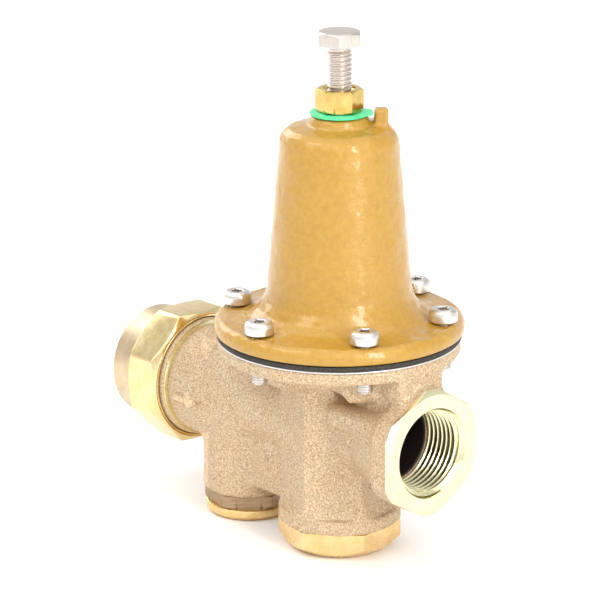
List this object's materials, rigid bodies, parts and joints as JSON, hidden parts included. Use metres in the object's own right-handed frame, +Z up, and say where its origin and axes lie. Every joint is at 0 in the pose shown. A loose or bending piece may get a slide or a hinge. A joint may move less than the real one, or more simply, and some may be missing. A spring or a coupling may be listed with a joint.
{
  "type": "pressure reducing valve",
  "caption": "Spring-loaded water pressure reducing valve with a strainer, a union inlet, a threaded outlet and an adjusting screw on its bell housing.",
  "frame": {"origin": "centre of the bottom plug's flat end, which the valve stands on", "axes": "+Z up along the adjusting screw, +X the way the water flows, out of the threaded outlet"},
  "size_m": [0.1279, 0.076, 0.1607],
  "materials": {
    "cast_bronze": "sand-cast, fine grain",
    "machined_brass": "machined, bright",
    "gold_paint": "sprayed over a casting, satin",
    "stainless_steel": "machined",
    "spring_steel": "oiled wire",
    "black_rubber": "matte, moulded",
    "green_plastic": "moulded",
    "red_fibre": "pressed fibre"
  },
  "bodies": {
    "body": {"bell_housing": "gold_paint", "bottom_plug": "machined_brass", "bottom_plug_oring": "black_rubber", "bottom_spring": "spring_steel", "diaphragm": "black_rubber", "flange_screw_1": "stainless_steel", "flange_screw_2": "stainless_steel", "flange_screw_3": "stainless_steel", "flange_screw_4": "stainless_steel", "flange_screw_5": "stainless_steel", "flange_screw_6": "stainless_steel", "friction_ring": "stainless_steel", "range_spring": "spring_steel", "seat_oring": "black_rubber", "seat_ring": "stainless_steel", "strainer_plug": "cast_bronze", "strainer_plug_oring": "black_rubber", "strainer_screen": "stainless_steel", "union_gasket": "red_fibre", "valve_body": "cast_bronze"},
    "spring_button": {"spring_button": "stainless_steel"},
    "adjusting_screw": {"adjusting_screw": "stainless_steel"},
    "seal_washer": {"seal_washer": "green_plastic"},
    "locknut": {"locknut": "machined_brass"},
    "poppet": {"stem": "stainless_steel", "diaphragm_plate": "machined_brass", "diaphragm_washer": "machined_brass", "diaphragm_nut": "stainless_steel", "seat_disc": "black_rubber", "disc_holder": "machined_brass", "disc_nut": "stainless_steel"},
    "union_tailpiece": {"union_tailpiece": "cast_bronze"},
    "union_nut": {"union_nut": "machined_brass"}
  },
  "joints": [
    {"name": "button_slide", "type": "slide", "parent": "body", "child": "spring_button", "axis": [0, 0, -1], "range_m": [0, 0.008], "deforming": ["range_spring"]},
    {"name": "adjusting_turn", "type": "hinge", "parent": "spring_button", "child": "adjusting_screw", "pos_m": [0, 0, 0.13], "axis": [0, 0, -1], "range_deg": [0, 2045]},
    {"name": "washer_slide", "type": "slide", "parent": "body", "child": "seal_washer", "axis": [0, 0, 1], "range_m": [0, 0.0042]},
    {"name": "locknut_turn", "type": "hinge", "parent": "seal_washer", "child": "locknut", "pos_m": [0, 0, 0.14], "axis": [0, 0, 1], "range_deg": [0, 1075]},
    {"name": "poppet_lift", "type": "slide", "parent": "body", "child": "poppet", "axis": [0, 0, 1], "range_m": [0, 0.0025], "stiffness_N_per_m": 20000, "springref_m": -0.001, "deforming": ["range_spring", "bottom_spring", "diaphragm"]},
    {"name": "union_slide", "type": "slide", "parent": "body", "child": "union_tailpiece", "axis": [-1, 0, 0], "range_m": [0, 0.007]},
    {"name": "union_turn", "type": "hinge", "parent": "union_tailpiece", "child": "union_nut", "pos_m": [-0.07, 0, 0.039], "axis": [-1, 0, 0], "range_deg": [0, 1262]}
  ],
  "couplings": [
    {"joint": "adjusting_turn", "follows": "button_slide", "rad_per_m": 4452.7},
    {"joint": "locknut_turn", "follows": "washer_slide", "rad_per_m": 4452.7},
    {"joint": "union_turn", "follows": "union_slide", "rad_per_m": 3141.6}
  ]
}
